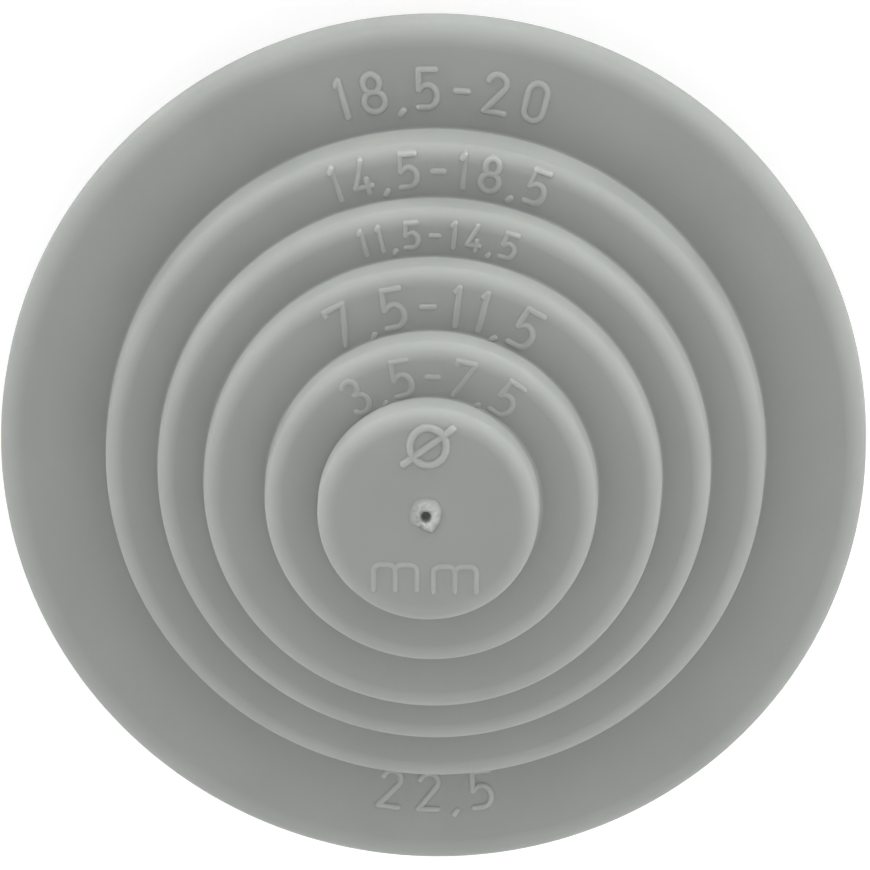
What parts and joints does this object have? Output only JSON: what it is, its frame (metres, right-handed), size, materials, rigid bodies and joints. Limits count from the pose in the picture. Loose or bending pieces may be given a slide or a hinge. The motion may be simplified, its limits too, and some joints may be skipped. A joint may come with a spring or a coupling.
{
  "type": "stepped membrane grommet",
  "caption": "Round soft-plastic cable grommet: a flange and lip clip into a panel hole, and a stepped cone with a closed nose is cut to suit the cable.",
  "frame": {"origin": "on the grommet's axis, in the plane of the lip's rear face", "axes": "+Z along the axis towards the closed nose, +Y towards the top of the numbers on the steps"},
  "size_m": [0.0292, 0.0292, 0.0147],
  "materials": {
    "soft_plastic": "matt moulded soft grey plastic"
  },
  "bodies": {
    "root": {"grommet": "soft_plastic"}
  },
  "joints": []
}
